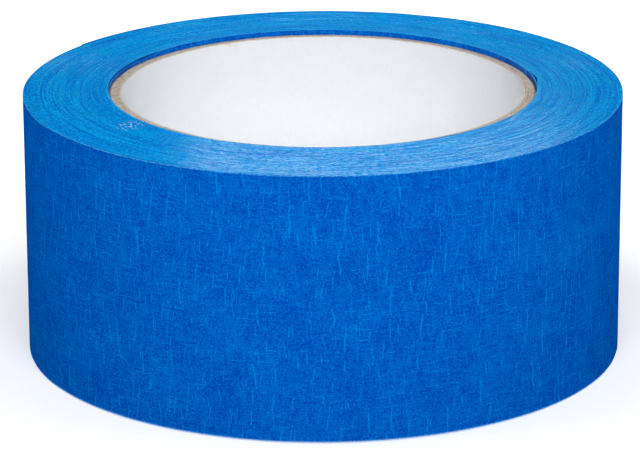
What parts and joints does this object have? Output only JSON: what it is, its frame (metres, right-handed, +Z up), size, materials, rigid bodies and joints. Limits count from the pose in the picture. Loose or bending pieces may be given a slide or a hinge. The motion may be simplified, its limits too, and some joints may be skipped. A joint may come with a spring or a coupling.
{
  "type": "masking tape roll",
  "caption": "Roll of blue crepe-paper masking tape wound on a white-lined spiral paperboard core, standing on its end face, with a free end that peels off.",
  "frame": {"origin": "centre of the roll's bounding box on the plane it stands on, where the roll's axis meets the surface under its lower end face", "axes": "+Z up along the roll's axis; the tape is wound anticlockwise seen from +Z; +Y points to the side where the free end is, so -Y is the plain side"},
  "size_m": [0.1133, 0.1135, 0.0505],
  "materials": {
    "white_liner": "smooth matt white liner paper",
    "grey_board": "recycled grey-brown chipboard, cut edge",
    "brown_ply": "thin brown kraft ply",
    "blue_crepe": "blue creped paper, matt with a faint sheen, fine wrinkles across the tape"
  },
  "bodies": {
    "roll": {"core_liner": "white_liner", "core_board_ply_1": "grey_board", "core_board_ply_2": "grey_board", "core_board_ply_3": "grey_board", "core_outer_ply": "brown_ply", "tape_first_wrap": "blue_crepe", "tape_wound_pack": "blue_crepe", "tape_outer_wrap": "blue_crepe"},
    "tape_end": {"tape_free_end": "blue_crepe"}
  },
  "joints": [
    {"name": "free_end_peel", "type": "hinge", "parent": "roll", "child": "tape_end", "pos_m": [-0.02173, 0.05245, 0.0251], "axis": [0, 0, -1], "range_deg": [0, 120]}
  ]
}
